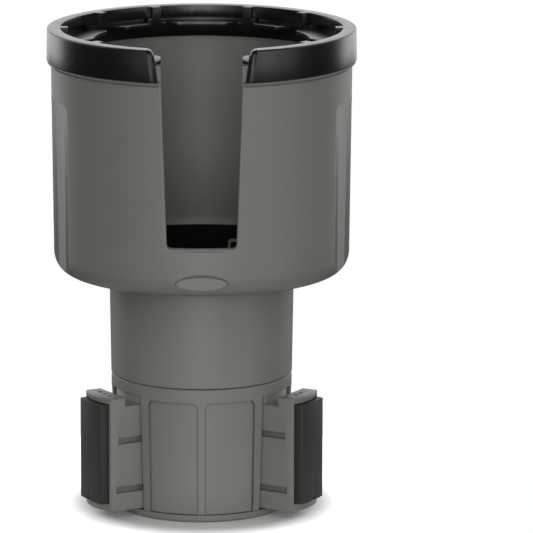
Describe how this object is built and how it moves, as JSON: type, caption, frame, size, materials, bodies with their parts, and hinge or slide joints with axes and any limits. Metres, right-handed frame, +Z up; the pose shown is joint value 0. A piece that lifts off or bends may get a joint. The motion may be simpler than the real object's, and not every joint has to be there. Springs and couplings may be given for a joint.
{
  "type": "cup holder expander",
  "caption": "Slotted travel cup holder on a round neck and base, with a soft flapped rim; turning the cup drives rubber-padded jaws out of the base to grip a smaller holder",
  "frame": {"origin": "centre of the flat underside of the base", "axes": "+Z up through the turning axis; -Y towards the open slot at the front; +X to the right of the slot seen from the front"},
  "size_m": [0.1176, 0.1152, 0.1851],
  "materials": {
    "grey_plastic": "satin moulded, fine grain, warm grey",
    "black_rubber": "soft black elastomer, satin",
    "pad_rubber": "charcoal rubber, matt",
    "drive_plastic": "natural low-friction moulding",
    "steel": "plated steel",
    "brass": "turned brass"
  },
  "bodies": {
    "base": {"base_housing": "grey_plastic", "bottom_cap": "grey_plastic", "hub_insert": "brass", "centre_bolt": "steel", "bolt_washer": "steel", "thrust_washer": "steel", "cap_screw_1": "steel", "cap_screw_2": "steel", "cap_screw_3": "steel"},
    "cup": {"cup_body": "grey_plastic", "rim_ring": "black_rubber", "floor_mat": "black_rubber", "neck_collar": "grey_plastic", "scroll_plate": "drive_plastic", "drive_screw_1": "steel", "drive_screw_2": "steel", "drive_screw_3": "steel", "cup_screw_1": "steel", "cup_screw_2": "steel", "cup_screw_3": "steel", "cup_screw_4": "steel"},
    "left_jaw": {"jaw_left": "grey_plastic", "pad_left": "pad_rubber", "pin_left": "steel"},
    "right_jaw": {"jaw_right": "grey_plastic", "pad_right": "pad_rubber", "pin_right": "steel"},
    "back_jaw": {"jaw_back": "grey_plastic", "pad_back": "pad_rubber", "pin_back": "steel"}
  },
  "joints": [
    {"name": "cup_turn", "type": "hinge", "parent": "base", "child": "cup", "pos_m": [0, 0, 0.0523], "axis": [0, 0, -1], "range_deg": [0, 360]},
    {"name": "left_jaw_slide", "type": "slide", "parent": "base", "child": "left_jaw", "axis": [-0.866, -0.5, 0], "range_m": [-0.0126, 0]},
    {"name": "right_jaw_slide", "type": "slide", "parent": "base", "child": "right_jaw", "axis": [0.866, -0.5, 0], "range_m": [-0.0126, 0]},
    {"name": "back_jaw_slide", "type": "slide", "parent": "base", "child": "back_jaw", "axis": [0, 1, 0], "range_m": [-0.0126, 0]}
  ],
  "couplings": [
    {"joint": "left_jaw_slide", "follows": "cup_turn", "m_per_rad": -0.0020053},
    {"joint": "right_jaw_slide", "follows": "cup_turn", "m_per_rad": -0.0020053},
    {"joint": "back_jaw_slide", "follows": "cup_turn", "m_per_rad": -0.0020053}
  ]
}
